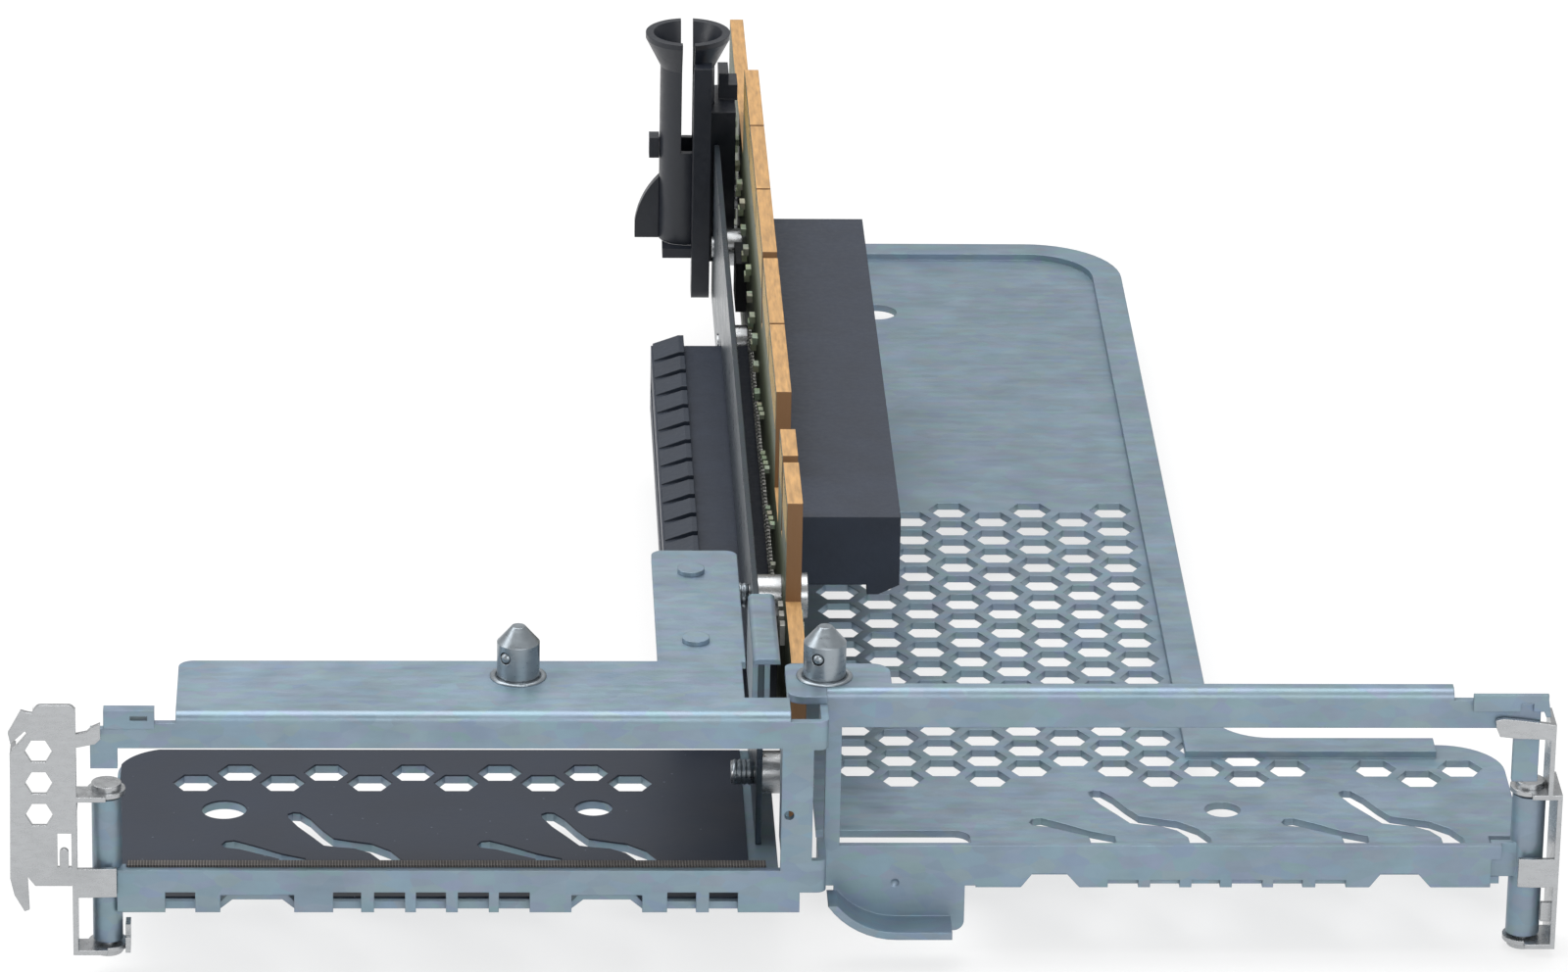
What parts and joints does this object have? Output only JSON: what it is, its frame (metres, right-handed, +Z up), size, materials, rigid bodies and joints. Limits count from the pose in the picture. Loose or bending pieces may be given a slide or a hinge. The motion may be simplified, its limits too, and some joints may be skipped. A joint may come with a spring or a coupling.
{
  "type": "riser cage bracket",
  "caption": "Double riser cage: two windowed sheet-metal frames, honeycomb base, upright riser board with opposed card slots, locating pins, plastic guide and hinged end latches.",
  "frame": {"origin": "underside of the right base plate, on the solid strip behind the front rail, 18 honeycomb rows in front of the field's first row", "axes": "+X to the right seen from the front, +Y back from the front windows, +Z up from the base plate to the board's contact edge"},
  "size_m": [0.1562, 0.2118, 0.0406],
  "materials": {
    "zinc_steel": "zinc plated, satin, faint mottle",
    "stainless": "satin stainless",
    "film": "matte dark film",
    "gasket": "woven conductive cloth over foam",
    "board": "solder mask over glass fibre, tan cut edges",
    "contacts": "gold plated",
    "slot_plastic": "moulded, matte black",
    "guide_plastic": "moulded, satin black",
    "solder": "bright tin",
    "ceramic": "fired ceramic with tinned ends"
  },
  "bodies": {
    "cage": {"left_frame": "zinc_steel", "insulator_film": "film", "emi_gasket": "gasket", "right_frame": "zinc_steel", "carrier_wall": "zinc_steel", "wall_clip": "zinc_steel", "riser_board": "board", "edge_contacts": "contacts", "slot_housing_right": "slot_plastic", "slot_contacts_right": "contacts", "slot_housing_left": "slot_plastic", "slot_collar_left": "slot_plastic", "slot_contacts_left": "contacts", "contact_tails": "solder", "chip_capacitors": "ceramic", "power_chips": "slot_plastic", "resistor_bars": "solder", "guide_funnel": "guide_plastic", "guide_wing": "guide_plastic", "guide_bracket": "guide_plastic", "guide_screws": "stainless", "board_standoffs": "zinc_steel", "board_screws": "stainless", "locating_pin_left": "stainless", "locating_pin_right": "stainless", "detent_balls": "stainless", "hinge_barrel_left": "zinc_steel", "hinge_barrel_right": "zinc_steel", "frame_rivets": "zinc_steel"},
    "left_end_latch": {"latch_left": "stainless", "hinge_pin_left": "stainless"},
    "right_end_latch": {"latch_right": "stainless", "hinge_pin_right": "stainless"}
  },
  "joints": [
    {"name": "left_latch_hinge", "type": "hinge", "parent": "cage", "child": "left_end_latch", "pos_m": [-0.0902, -0.0088, 0.0042], "axis": [0, 0, -1], "range_deg": [0, 90]},
    {"name": "right_latch_hinge", "type": "hinge", "parent": "cage", "child": "right_end_latch", "pos_m": [0.05335, -0.0025, 0.0015], "axis": [0, 0, 1], "range_deg": [0, 60]}
  ]
}
